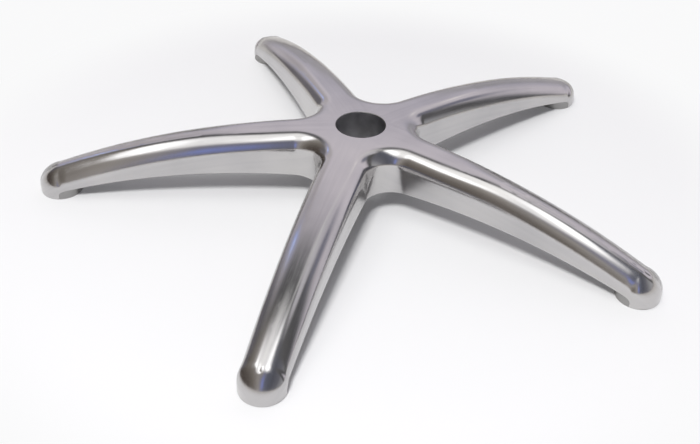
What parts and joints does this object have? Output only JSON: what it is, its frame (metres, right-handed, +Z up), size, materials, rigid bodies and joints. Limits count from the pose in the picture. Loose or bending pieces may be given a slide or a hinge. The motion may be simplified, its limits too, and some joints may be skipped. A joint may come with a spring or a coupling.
{
  "type": "swivel chair base",
  "caption": "Low arched star base for a swivel chair, cast in one piece, with a gas-lift socket in the hub and a caster socket under each leg tip.",
  "frame": {"origin": "centre of the gas-lift bore's mouth, on the top face of the hub", "axes": "+Z up along the bore, out of the hub; one leg points along -Y; X runs across the base, over its widest span"},
  "size_m": [0.6202, 0.5919, 0.075],
  "materials": {
    "polished_aluminium": "mirror polished on the outside, as cast underneath"
  },
  "bodies": {
    "root": {"star_base": "polished_aluminium"}
  },
  "joints": []
}
